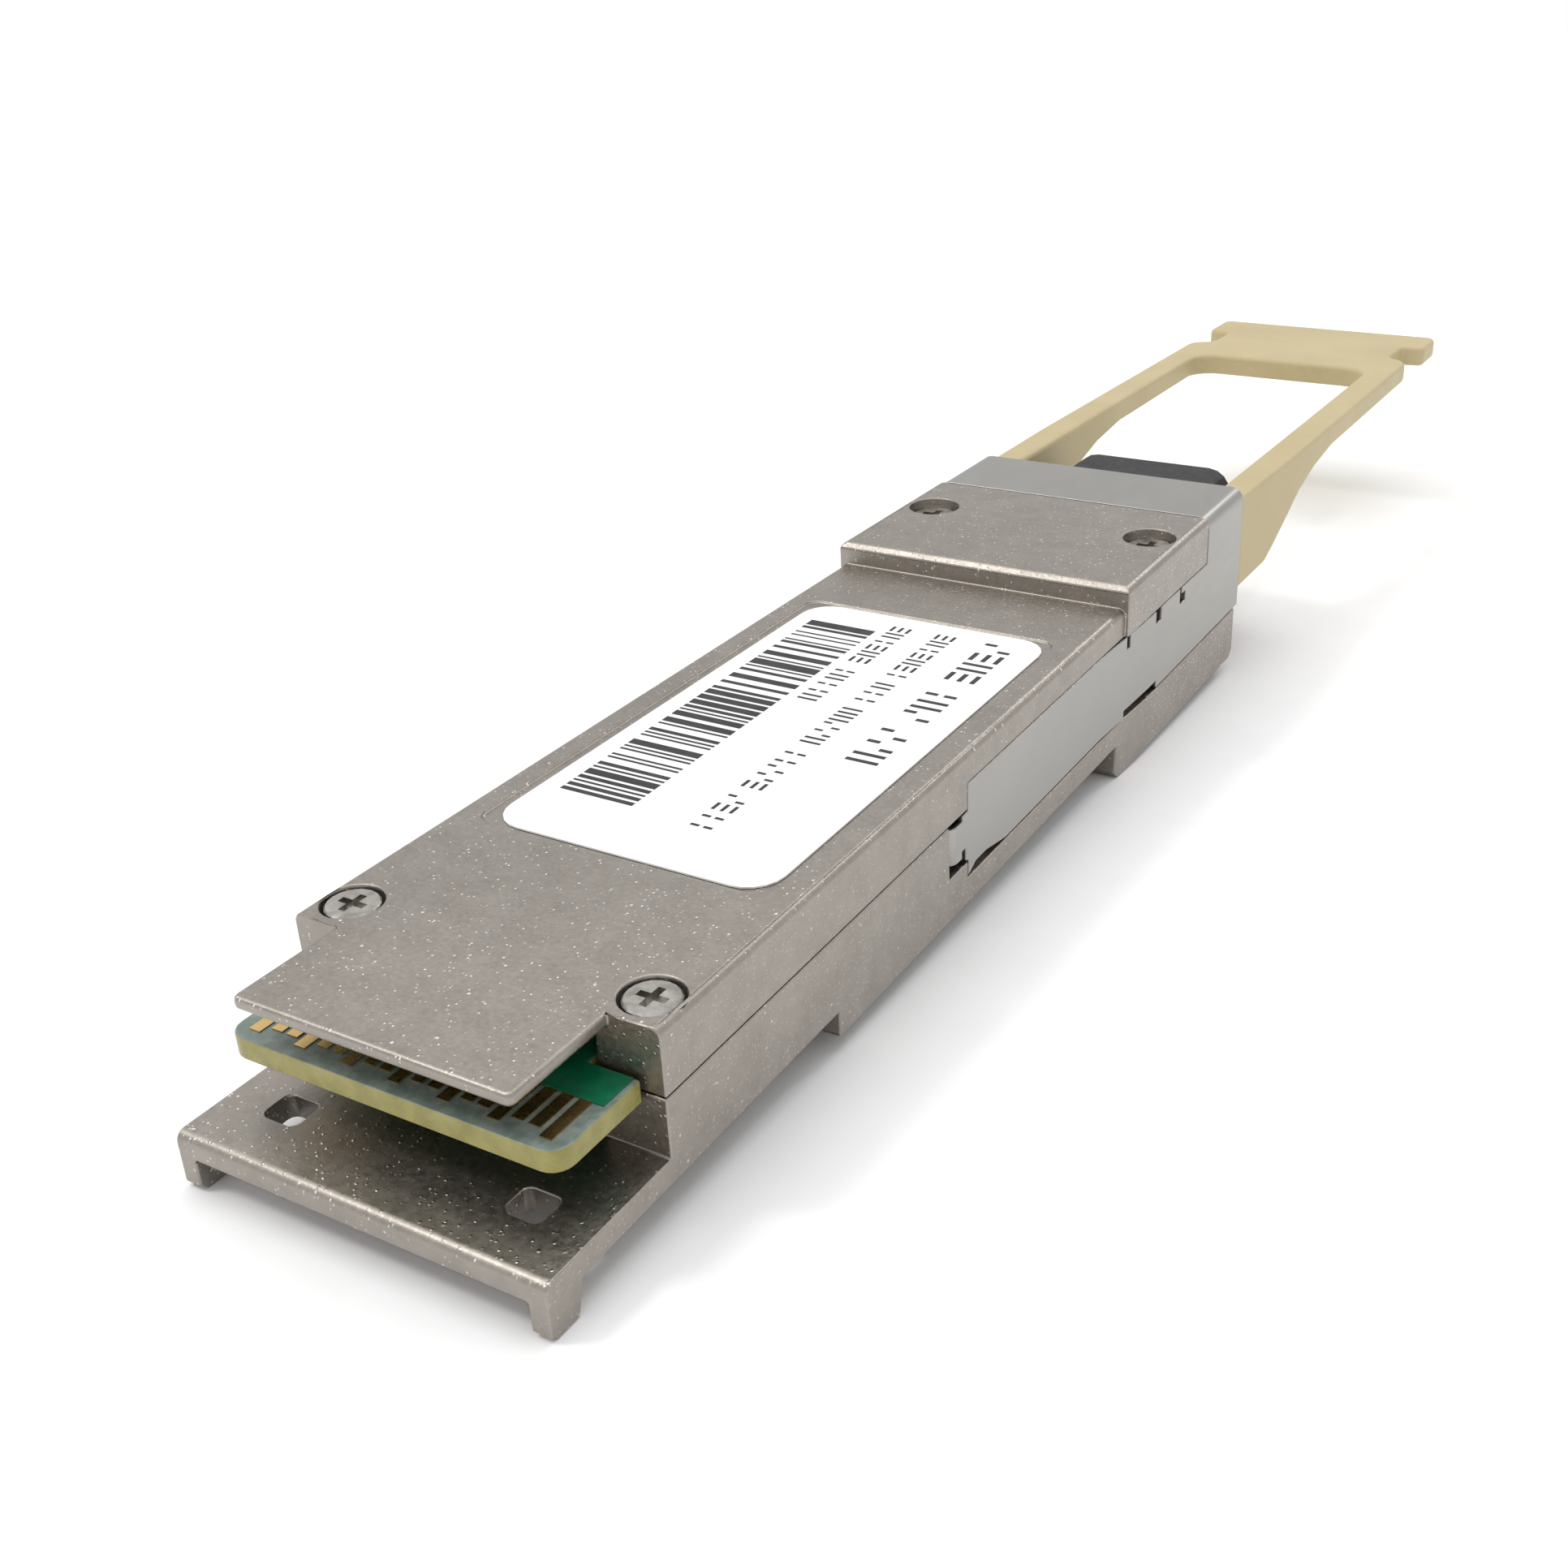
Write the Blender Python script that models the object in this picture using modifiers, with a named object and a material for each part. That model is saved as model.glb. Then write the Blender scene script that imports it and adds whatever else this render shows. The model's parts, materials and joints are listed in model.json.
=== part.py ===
"""A pluggable four-lane optical transceiver module, lying with its heat-sink side down.

Sizes below are millimetres in the module's own terms: x across, y from the host end
towards the fibre port and pull tab, z up from the heat-sink pad on the underside.
place() turns them into metres with the origin at the middle of the base of the bounding box.
"""
import math

import bmesh
import bpy
from mathutils import Matrix, Vector

MM = 0.001

# --- driving dimensions, millimetres -------------------------------------------------------------
BODY_HALF = 9.175        # half of the 18.35 wide body that slides into the cage
NOSE_HALF = 9.4          # half width of the nose that stays outside the cage
BODY_TOP = 8.5           # label face above the heat-sink pad
NOSE_TOP = 9.81
NOSE_BOTTOM = -2.0
SEAM = 5.4               # height of the joint between the two shells
SEAM_GAP = 0.08
TIP_Y = -0.5             # host-end tip of the plate under the card
PLATE_BOTTOM, PLATE_TOP = 1.5, 2.63
SHOULDER_Y = 7.11        # host-end face of the closed body
PAD_START_Y = 19.66
NOSE_Y = 52.4            # step from the cage-side body to the nose
NOSE_END_Y = 71.8
TAB_END_Y = 125.0
MIDDLE_Y = (TIP_Y + TAB_END_Y) / 2
WALL_INNER = 7.85        # half width of the inner hollow
CEILING = 7.5
TONGUE_Y, TONGUE_HALF, TONGUE_BOTTOM = 1.55, 6.8, 7.9
CAVITY_END_Y = 57.5

CARD_BOTTOM, CARD_TOP = 5.1, 6.1
CARD_Y, CARD_END_Y = 2.0, 54.0
CARD_HALF = 8.21         # half of the 16.42 wide contact edge
CONTACTS, CONTACT_PITCH, CONTACT_WIDTH = 19, 0.8, 0.56
TRACE_SQUEEZE = 0.76     # how far the contacts' traces draw together to pass between the corner blocks
COPPER = 0.035
FILM_GAP = 0.02          # glue line under flat films and plated contacts

HOST_SCREW = (7.6, 8.86)
NOSE_SCREW = (7.3, 60.9)
BOSS_INNER, BOSS_END_Y = 6.1, 10.7

SHEET = 0.35             # release slide's steel
ARM_BOTTOM, ARM_TOP = 1.75, 6.8
ARM_TIP_Y = 32.4
ARM_FACE = 9.16
STRAP_Y, STRAP_END_Y = 65.75, 72.3
JOGGLE_Y = (49.0, 56.0)  # the arms spread here from the body's width to the nose's
LUG_Y, LUG_END_Y, LUG_Z, TONGUE_Z = 30.6, 31.8, (3.0, 5.0), (3.6, 8.4)
STRAP_BEND, LUG_BEND = 0.8, 0.6          # outer radius of the slide's folds
STRAP_BED_HALF, STRAP_BED_Z = 9.0, 9.38  # the nose is stepped in under the strap and cheeks
TRAVEL = 2.6             # how far the slide is pulled to release the cage

PORT_HALF, PORT_BOTTOM, PORT_TOP = 6.3, -0.7, 8.3
PORT_Z = (PORT_BOTTOM + PORT_TOP) / 2
RECEPTACLE_Y = 62.8
PLUG_HALF, PLUG_BOTTOM, PLUG_TOP = 5.75, -0.4, 8.1
PLUG_Y, PLUG_END_Y = 64.3, 81.3

TAB_Y, TAB_HALF, TAB_LOOP_HALF, TAB_LOOP_END_Y = 72.4, 9.55, 7.3, 110.8
TAB_THICK, TAB_NECK_HALF = 1.65, 7.8
TAB_BAR_Y, TAB_BAR_HALF = 120.4, 9.65

SPRING_X, SPRING_Z, SPRING_Y, SPRING_END_Y = 6.9, 3.9, 31.25, 41.1
SPRING_RADIUS, SPRING_WIRE, SPRING_TURNS = 0.6, 0.11, 7

FAR = 40.0               # cutters run this far past what they cut
SIDES = (("left", -1), ("right", 1))

# --- scene and small helpers ---------------------------------------------------------------------
for old in list(bpy.data.objects):
    bpy.data.objects.remove(old)

module = bpy.data.collections.new("optical_transceiver_module")
cutters = bpy.data.collections.new("cutters")
bpy.context.scene.collection.children.link(module)
bpy.context.scene.collection.children.link(cutters)


def place(x, y, z):
    """Module millimetres to world metres."""
    return Vector((x, y - MIDDLE_Y, z - NOSE_BOTTOM)) * MM


def material(name, colour, roughness, metallic=0.0):
    mat = bpy.data.materials.new(name)
    mat.use_nodes = True
    shader = mat.node_tree.nodes["Principled BSDF"]
    shader.inputs["Base Color"].default_value = (*colour, 1)
    shader.inputs["Roughness"].default_value = roughness
    shader.inputs["Metallic"].default_value = metallic
    return mat


NICKEL = material("blasted_nickel", (0.42, 0.39, 0.36), 0.42, 1.0)
STEEL = material("slide_steel", (0.50, 0.51, 0.52), 0.38, 1.0)
SCREW_STEEL = material("screw_steel", (0.55, 0.53, 0.50), 0.3, 1.0)
SPRING_STEEL = material("spring_steel", (0.45, 0.44, 0.42), 0.3, 1.0)
PIN_STEEL = material("pin_steel", (0.62, 0.62, 0.63), 0.15, 1.0)
TAB_PLASTIC = material("beige_tab", (0.70, 0.60, 0.40), 0.55)
PLUG_RUBBER = material("black_plug", (0.02, 0.02, 0.022), 0.5)
LABEL_FILM = material("white_label", (0.88, 0.88, 0.87), 0.45)
CARD_GREEN = material("card_green", (0.03, 0.22, 0.12), 0.45)
GOLD = material("contact_gold", (0.83, 0.58, 0.22), 0.25, 1.0)
CHIP_BLACK = material("chip_black", (0.03, 0.03, 0.035), 0.5)
DIE_GREY = material("die_grey", (0.16, 0.17, 0.20), 0.25, 0.3)
CAPACITOR_TAN = material("capacitor_tan", (0.42, 0.32, 0.22), 0.5)
FERRITE = material("inductor_ferrite", (0.11, 0.11, 0.11), 0.6)
LENS_RESIN = material("lens_resin", (0.62, 0.44, 0.20), 0.12)
FERRULE_RESIN = material("ferrule_resin", (0.06, 0.06, 0.065), 0.4)
FIBRE_AQUA = material("fibre_aqua", (0.12, 0.55, 0.56), 0.4)
PORT_BLACK = material("port_moulding", (0.045, 0.045, 0.05), 0.5)
GAP_PAD = material("gap_pad", (0.45, 0.55, 0.62), 0.8)
GASKET_GREY = material("gasket_grey", (0.22, 0.22, 0.22), 0.75)


def link_mesh(name, bm, mat, collection, is_sheet=False):
    """Gives the mesh an object. An open sheet keeps the facing that it was drawn with."""
    mesh = bpy.data.meshes.new(name)
    if not is_sheet:
        bmesh.ops.recalc_face_normals(bm, faces=bm.faces)
    bm.to_mesh(mesh)
    bm.free()
    obj = bpy.data.objects.new(name, mesh)
    collection.objects.link(obj)
    if mat is None:
        obj.hide_render = True
        obj.display_type = "WIRE"
    else:
        mesh.materials.append(mat)
    return obj


def centre_on(obj, point):
    """Moves the object's origin to a world point and leaves the shape where it is."""
    obj.data.transform(Matrix.Translation(-point))
    obj.location = point
    return obj


def box(name, xs, ys, zs, mat=None):
    """A block between two corners. With no material it is a cutter."""
    low, high = place(xs[0], ys[0], zs[0]), place(xs[1], ys[1], zs[1])
    bm = bmesh.new()
    bmesh.ops.create_cube(bm, size=1.0)
    bmesh.ops.scale(bm, vec=high - low, verts=bm.verts)
    middle = (low + high) / 2
    obj = link_mesh(name, bm, mat, module if mat else cutters)
    obj.location = middle
    return obj


def drum(name, centre, radius, length, axis="Z", mat=None, sides=24):
    """A cylinder about its centre, along Z or Y."""
    bm = bmesh.new()
    bmesh.ops.create_cone(bm, cap_ends=True, segments=sides, radius1=radius * MM,
                          radius2=radius * MM, depth=length * MM)
    if axis == "Y":
        bmesh.ops.rotate(bm, verts=bm.verts, matrix=Matrix.Rotation(math.pi / 2, 3, "X"))
    obj = link_mesh(name, bm, mat, module if mat else cutters)
    obj.location = place(*centre)
    return obj


def extrude_outline(name, outline, across, mat=None):
    """A flat outline made solid across an axis: (y, z) points for "X", (x, z) for "Y", (x, y) for "Z"."""
    axis, low, high = across
    index = "XYZ".index(axis)
    bm = bmesh.new()
    corners = []
    for a, b in outline:
        point = [a, b]
        point.insert(index, low)
        corners.append(bm.verts.new(place(*point)))
    push = Vector([high - low if i == index else 0 for i in range(3)]) * MM
    face = bm.faces.new(corners)
    made = bmesh.ops.extrude_face_region(bm, geom=[face])
    moved = [v for v in made["geom"] if isinstance(v, bmesh.types.BMVert)]
    bmesh.ops.translate(bm, verts=moved, vec=push)
    return link_mesh(name, bm, mat, module if mat else cutters)


def arc(centre, radius, start, end, steps=5):
    """Points on a circular arc, angles in degrees."""
    angles = [math.radians(start + (end - start) * i / steps) for i in range(steps + 1)]
    return [(centre[0] + radius * math.cos(a), centre[1] + radius * math.sin(a)) for a in angles]


def rounded(xs, ys, radius, steps=4):
    """A rectangle's outline with round corners, anticlockwise."""
    (x0, x1), (y0, y1) = xs, ys
    r = radius
    return (arc((x1 - r, y0 + r), r, -90, 0, steps) + arc((x1 - r, y1 - r), r, 0, 90, steps)
            + arc((x0 + r, y1 - r), r, 90, 180, steps) + arc((x0 + r, y0 + r), r, 180, 270, steps))


def edge_cutters(name, half, height, radius, ys, up=1):
    """Cutters that round a pair of lengthwise edges at x = +-half. up is 1 for top edges, -1 for bottom."""
    inset = radius - 0.01
    curve = arc((half - inset, -inset), radius, 0, 90)
    outer = [(half - inset, 0.5), (half + 0.5, 0.5), (half + 0.5, -inset)]
    return both(lambda side, s: extrude_outline(
        f"{name}_{side}", [(s * x, height + up * z) for x, z in curve + outer], ("Y", *ys)))


def combine(obj, others, operation):
    for other in others:
        modifier = obj.modifiers.new(f"{operation.lower()}_{other.name}", "BOOLEAN")
        modifier.operation = operation
        modifier.solver = "EXACT"
        modifier.object = other
    return obj


def cut(obj, *others):
    return combine(obj, others, "DIFFERENCE")


def join(obj, *others):
    return combine(obj, others, "UNION")


def soften(obj, width, segments=1, angle=40):
    modifier = obj.modifiers.new("soft_edges", "BEVEL")
    modifier.width = width * MM
    modifier.segments = segments
    modifier.limit_method = "ANGLE"
    modifier.angle_limit = math.radians(angle)
    return obj


def smooth(obj, angle=40):
    obj.data.shade_smooth()
    obj.data.set_sharp_from_angle(angle=math.radians(angle))
    return obj


def both(make):
    """Calls make(side name, sign) for the left and the right, and lists what it returns."""
    return [make(side, sign) for side, sign in SIDES]


def span(sign, low, high):
    """An x range given for the right side, put on the side that sign names."""
    return (low, high) if sign > 0 else (-high, -low)


# --- the recesses that the release slide runs in, cut from both shells ------------------------------
def slide_recesses(shell):
    """Side channels for the arms, and the nose's shallower channel."""
    return both(lambda side, s: box(
        f"{shell}_arm_channel_{side}", span(s, 8.7, FAR), (ARM_TIP_Y - 0.08, JOGGLE_Y[1] + TRAVEL + 0.2),
        (ARM_BOTTOM - 0.12, ARM_TOP + 0.04))) + both(lambda side, s: box(
            f"{shell}_nose_channel_{side}", span(s, 9.0, FAR), (NOSE_Y - 0.2, FAR * 2),
            (ARM_BOTTOM - 0.12, ARM_TOP + 0.04)))


# --- lower shell -------------------------------------------------------------------------------------
def make_housing_base():
    top = SEAM - SEAM_GAP / 2
    lip = 0.45
    profile = [(TIP_Y, PLATE_BOTTOM + 0.1), (TIP_Y + 0.1, PLATE_BOTTOM), (PAD_START_Y, PLATE_BOTTOM),
               (PAD_START_Y, 0.25), (PAD_START_Y + 0.25, 0.0), (NOSE_Y + 0.1, 0.0),
               (NOSE_Y + 0.1, top), (SHOULDER_Y, top),
               (SHOULDER_Y, PLATE_TOP)] + arc((TIP_Y + lip, PLATE_TOP - lip), lip, 90, 180, 4)
    base = extrude_outline("housing_base", profile, ("X", -BODY_HALF, BODY_HALF), NICKEL)
    cut(base, *edge_cutters("base_pad_edge", BODY_HALF, 0.0, 0.4, (PAD_START_Y - 1, NOSE_Y + 1), -1))
    join(base, base_nose(top))
    tab = [(TIP_Y, 0.3), (TIP_Y + 0.3, 0.0), (1.1, 0.0), (1.6, 1.8), (TIP_Y, 1.8)]
    join(base, *both(lambda side, s: extrude_outline(
        f"base_end_tab_{side}", tab, ("X", *span(s, BODY_HALF - 0.9, BODY_HALF)))))
    cut(base, box("base_hollow", (-WALL_INNER, WALL_INNER), (SHOULDER_Y - 1, CAVITY_END_Y),
                  (PLATE_TOP, FAR)))
    join(base, *both(base_boss))
    join(base, *both(lambda side, s: box(
        f"base_spring_stop_{side}", span(s, 6.1, WALL_INNER + 0.2),
        (SPRING_END_Y + 0.2, SPRING_END_Y + 1.2), (PLATE_TOP - 0.2, 4.9))))
    join(base, *both(lambda side, s: drum(
        f"base_board_peg_{side}", (s * 6.9, 47.0, 4.2), 0.6, 3.6, sides=12)))
    cut(base, box("base_fibre_way", (-5.2, 5.2), (CAVITY_END_Y - 1, FAR * 2), (2.2, FAR)),
        box("base_port", (-7.3, 7.3), (RECEPTACLE_Y - 0.2, FAR * 2), (-1.2, FAR)))
    cut(base, *slide_recesses("base"))
    cut(base, *both(lambda side, s: box(
        f"base_lug_pocket_{side}", span(s, 8.3, FAR), (LUG_Y - 0.25, ARM_TIP_Y + 0.2), (2.5, FAR))))
    cut(base, *both(lambda side, s: box(
        f"base_lug_way_{side}", span(s, 7.0, FAR), (LUG_Y - 0.25, 34.4), (2.75, FAR))))
    cut(base, *both(lambda side, s: extrude_outline(
        f"base_plate_hole_{side}", rounded(span(s, 5.2, 6.95), (1.9, 3.45), 0.35, 3),
        ("Z", -5.0, 4.0))))
    cut(base, *both(lambda side, s: drum(
        f"base_host_thread_{side}", (s * HOST_SCREW[0], HOST_SCREW[1], 4.4), 0.62, 3.0, sides=12)))
    cut(base, *both(lambda side, s: drum(
        f"base_nose_thread_{side}", (s * NOSE_SCREW[0], NOSE_SCREW[1], 4.4), 0.72, 3.0, sides=12)))
    return base


def base_nose(top):
    """The deeper part outside the cage: it spreads from the body's width and its lower edges are round."""
    front, lip = NOSE_Y - 0.8, 0.8
    outline = arc((front + lip, NOSE_BOTTOM + lip), lip, 180, 270, 4) + [
        (NOSE_END_Y - lip, NOSE_BOTTOM), (NOSE_END_Y, NOSE_BOTTOM + lip), (NOSE_END_Y, top), (front, top)]
    nose = extrude_outline("base_nose", outline, ("X", -NOSE_HALF, NOSE_HALF))
    cut(nose, *edge_cutters("base_nose_edge", NOSE_HALF, NOSE_BOTTOM, 0.5, (NOSE_Y - 5, FAR * 2), -1))
    start, end = BODY_HALF - 0.02, JOGGLE_Y[1]
    return cut(nose, *both(lambda side, s: extrude_outline(
        f"base_nose_taper_{side}",
        [(s * start, front - 1), (s * start, front), (s * (NOSE_HALF + 0.01), end), (s * FAR, end),
         (s * FAR, front - 1)], ("Z", NOSE_BOTTOM - 1, ARM_BOTTOM))))


def base_boss(side, sign):
    """Corner block that a host-end screw bites into."""
    return box(f"base_boss_{side}", span(sign, BOSS_INNER, WALL_INNER + 0.2),
               (SHOULDER_Y, BOSS_END_Y), (PLATE_TOP - 0.2, SEAM - SEAM_GAP / 2))


# --- upper shell with the label face -----------------------------------------------------------------
def make_top_cover():
    bottom = SEAM + SEAM_GAP / 2
    profile = [(SHOULDER_Y, bottom), (NOSE_END_Y, bottom), (NOSE_END_Y, BODY_TOP),
               (SHOULDER_Y, BODY_TOP)]
    cover = extrude_outline("top_cover", profile, ("X", -BODY_HALF, BODY_HALF), NICKEL)
    cut(cover, *edge_cutters("cover_edge", BODY_HALF, BODY_TOP, 0.45, (SHOULDER_Y - 1, FAR * 2)))
    nose = [(NOSE_Y, bottom), (NOSE_END_Y, bottom), (NOSE_END_Y, NOSE_TOP), (NOSE_Y + 0.3, NOSE_TOP),
            (NOSE_Y, NOSE_TOP - 0.3)]
    top = extrude_outline("cover_nose", nose, ("X", -NOSE_HALF, NOSE_HALF))
    join(cover, cut(top, *edge_cutters("cover_nose_edge", NOSE_HALF, NOSE_TOP, 0.5, (NOSE_Y - 1, FAR * 2))))
    plan = rounded((-TONGUE_HALF, TONGUE_HALF), (TONGUE_Y, SHOULDER_Y + 3), 0.3, 3)
    tongue = extrude_outline("cover_tongue", plan, ("Z", TONGUE_BOTTOM, BODY_TOP))
    join(cover, soften(tongue, 0.2, 3, 60))
    cut(cover, box("cover_hollow", (-WALL_INNER, WALL_INNER), (SHOULDER_Y - 1, CAVITY_END_Y),
                   (0.0, CEILING)))
    join(cover, *both(lambda side, s: box(
        f"cover_boss_{side}", span(s, BOSS_INNER, WALL_INNER + 0.2), (SHOULDER_Y, BOSS_END_Y),
        (bottom, CEILING + 0.2))))
    cut(cover, box("cover_fibre_way", (-5.2, 5.2), (CAVITY_END_Y - 1, FAR * 2), (0.0, 6.9)),
        box("cover_port", (-7.3, 7.3), (RECEPTACLE_Y - 0.2, FAR * 2), (0.0, 8.75)),
        box("cover_strap_bed", (-FAR, FAR), (STRAP_Y - 0.1, FAR * 2), (STRAP_BED_Z, FAR)))
    cut(cover, *both(lambda side, s: box(
        f"cover_strap_side_{side}", span(s, STRAP_BED_HALF, FAR), (STRAP_Y - 0.1, FAR * 2), (0.0, FAR))))
    cut(cover, *edge_cutters(
        "cover_under_strap", STRAP_BED_HALF, STRAP_BED_Z, 0.55, (STRAP_Y - 0.1, FAR * 2)))
    cut(cover, *slide_recesses("cover"))
    cut(cover, extrude_outline("cover_label_bed", rounded((-7.85, 7.6), (16.75, 46.35), 0.8, 3),
                               ("Z", BODY_TOP - 0.12, BODY_TOP + 2)))
    for radius, depth, spot, stem in ((1.36, 0.85, HOST_SCREW, 0.8), (1.6, 1.45, NOSE_SCREW, 0.9)):
        face = BODY_TOP if spot is HOST_SCREW else NOSE_TOP
        name = "host" if spot is HOST_SCREW else "nose"
        for side, s in SIDES:
            cut(cover,
                drum(f"cover_{name}_sink_{side}", (s * spot[0], spot[1], face), radius, 2 * depth,
                     sides=28),
                drum(f"cover_{name}_hole_{side}", (s * spot[0], spot[1], 6.5), stem, 6.0, sides=16))
    return cover


# --- fasteners ---------------------------------------------------------------------------------------
def make_screw(name, spot, head_top, head_radius, stem_radius, length):
    """A countersunk cross-head screw, turned about its own axis."""
    r, s = head_radius * MM, stem_radius * MM
    profile = [(0.0, 0.0), (r - 0.08 * MM, 0.0), (r, -0.08 * MM), (r, -0.3 * MM),
               (s, -0.72 * MM), (s, (0.3 - length) * MM), (s * 0.5, -length * MM), (0.0, -length * MM)]
    bm = bmesh.new()
    verts = [bm.verts.new((x, 0, z)) for x, z in profile]
    for a, b in zip(verts, verts[1:]):
        bm.edges.new((a, b))
    mesh = bpy.data.meshes.new(name)
    bm.to_mesh(mesh)
    bm.free()
    screw = bpy.data.objects.new(name, mesh)
    module.objects.link(screw)
    mesh.materials.append(SCREW_STEEL)
    screw.location = place(spot[0], spot[1], head_top)
    turn = screw.modifiers.new("turn", "SCREW")
    turn.steps = turn.render_steps = 20
    turn.use_merge_vertices = True
    turn.merge_threshold = 1e-5
    turn.use_normal_calculate = True
    arm, width = head_radius * 0.56, head_radius * 0.15
    cut(screw, *[box(f"{name}_slot_{i}", (spot[0] - a, spot[0] + a), (spot[1] - b, spot[1] + b),
                     (head_top - 0.34, head_top + 1)) for i, (a, b) in
                 enumerate(((arm, width), (width, arm)))])
    return screw


def make_screws():
    for side, s in SIDES:
        make_screw(f"cover_screw_host_{side}", (s * HOST_SCREW[0], HOST_SCREW[1]),
                   BODY_TOP - 0.08, 1.2, 0.58, 4.6)
        make_screw(f"cover_screw_nose_{side}", (s * NOSE_SCREW[0], NOSE_SCREW[1]),
                   NOSE_TOP - 0.55, 1.42, 0.68, 5.5)


# --- release slide and its pull tab ------------------------------------------------------------------
def slide_face(y):
    """Half width of the slide's outer face: straight arm, then a joggle out to the nose."""
    share = min(max((y - JOGGLE_Y[0]) / (JOGGLE_Y[1] - JOGGLE_Y[0]), 0), 1)
    return ARM_FACE + (NOSE_HALF - ARM_FACE) * share


def slide_outline():
    """Side view (y, z) of one arm and cheek, anticlockwise from the lug at the arm's tip."""
    foot_top = ARM_BOTTOM + 0.4
    cheek = [(STRAP_END_Y, ARM_BOTTOM), (STRAP_END_Y, TONGUE_Z[0]), (STRAP_END_Y, TONGUE_Z[1]),
             (STRAP_END_Y, NOSE_TOP), (STRAP_Y, NOSE_TOP), (STRAP_Y, ARM_TOP)]
    cheek += [(61.25, ARM_TOP), (61.25, ARM_TOP - 0.4), (61.9, ARM_TOP - 0.4), (61.9, ARM_TOP - 1.0),
              (60.9, ARM_TOP - 1.0), (60.9, ARM_TOP)]
    for low, high in ((56.9, 57.8), (52.6, 53.1)):
        cheek += [(high, ARM_TOP), (high, ARM_TOP - 0.8), (low, ARM_TOP - 0.8), (low, ARM_TOP)]
    tip = [(ARM_TIP_Y, ARM_TOP), (ARM_TIP_Y, LUG_Z[1] + 0.3), (LUG_END_Y, LUG_Z[1] + 0.3),
           (LUG_END_Y, LUG_Z[1]), (LUG_Y, LUG_Z[1]), (LUG_Y, LUG_Z[0]), (LUG_END_Y - 0.1, LUG_Z[0]),
           (LUG_END_Y - 0.1, LUG_Z[0] + 0.4), (LUG_END_Y + 0.3, LUG_Z[0] + 0.4),
           (LUG_END_Y + 0.3, LUG_Z[0] - 0.3), (ARM_TIP_Y, LUG_Z[0] - 0.4), (ARM_TIP_Y, ARM_BOTTOM),
           (ARM_TIP_Y + 0.8, foot_top), (ARM_TIP_Y + 2.0, foot_top), (ARM_TIP_Y + 4.2, ARM_BOTTOM)]
    slot = [(NOSE_Y, ARM_BOTTOM), (NOSE_Y, 2.2), (57.3, 2.2), (57.3, ARM_BOTTOM)]
    return cheek + tip + slot


def edges_on(bm, test):
    """The edges whose two ends both pass a test given module millimetres."""
    def passes(vert):
        x, y, z = vert.co / MM
        return test(x, y + MIDDLE_Y, z + NOSE_BOTTOM)
    return [edge for edge in bm.edges if all(passes(vert) for vert in edge.verts)]


def fold(bm, edges, push):
    """Carries the sheet on from an edge and gives back the new edges."""
    made = bmesh.ops.extrude_edge_only(bm, edges=edges)["geom"]
    verts = [v for v in made if isinstance(v, bmesh.types.BMVert)]
    bmesh.ops.translate(bm, verts=verts, vec=Vector(push) * MM)
    return [e for e in made if isinstance(e, bmesh.types.BMEdge) and all(v in verts for v in e.verts)]


def make_release_slide():
    """One pressed sheet: side arms, cheeks, the strap over the nose, spring seats and tab tongues."""
    bm = bmesh.new()
    bm.faces.new([bm.verts.new(place(0, y, z)) for y, z in slide_outline()])
    for y in JOGGLE_Y:
        bmesh.ops.bisect_plane(bm, geom=bm.verts[:] + bm.edges[:] + bm.faces[:],
                               plane_co=place(0, y, 0), plane_no=(0, 1, 0), dist=1e-8)
    for vert in bm.verts:
        vert.co.x = slide_face(vert.co.y / MM + MIDDLE_Y) * MM
    near = 0.01
    top = edges_on(bm, lambda x, y, z: z > NOSE_TOP - near)
    seat = edges_on(bm, lambda x, y, z: y < LUG_Y + near)
    front = edges_on(bm, lambda x, y, z: y > STRAP_END_Y - near
                     and TONGUE_Z[0] - near < z < TONGUE_Z[1] + near)
    for edges, reach, bend in ((top, NOSE_HALF, STRAP_BEND), (seat, slide_face(LUG_Y) - 6.2, LUG_BEND)):
        fold(bm, edges, (-reach, 0, 0))
        bmesh.ops.bevel(bm, geom=edges, offset=bend * MM, segments=4, profile=0.5, affect="EDGES")
    flange = fold(bm, front, (-1.1, 0, 0))
    fold(bm, flange, (0, 5.7, 0))
    slide = link_mesh("release_slide", bm, STEEL, module, is_sheet=True)
    mirror = slide.modifiers.new("other_side", "MIRROR")
    mirror.merge_threshold = 1e-5
    sheet = slide.modifiers.new("sheet", "SOLIDIFY")
    sheet.solidify_mode = "NON_MANIFOLD"
    sheet.nonmanifold_thickness_mode = "CONSTRAINTS"
    sheet.nonmanifold_merge_threshold = 1e-6
    sheet.thickness = SHEET * MM
    sheet.offset = -1.0
    return centre_on(slide, place(0, STRAP_Y, ARM_TOP))


def tab_top(y):
    """Height of the tab's top face, which droops slightly towards its end."""
    return 9.2 - (y - TAB_Y) * 0.019


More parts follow.
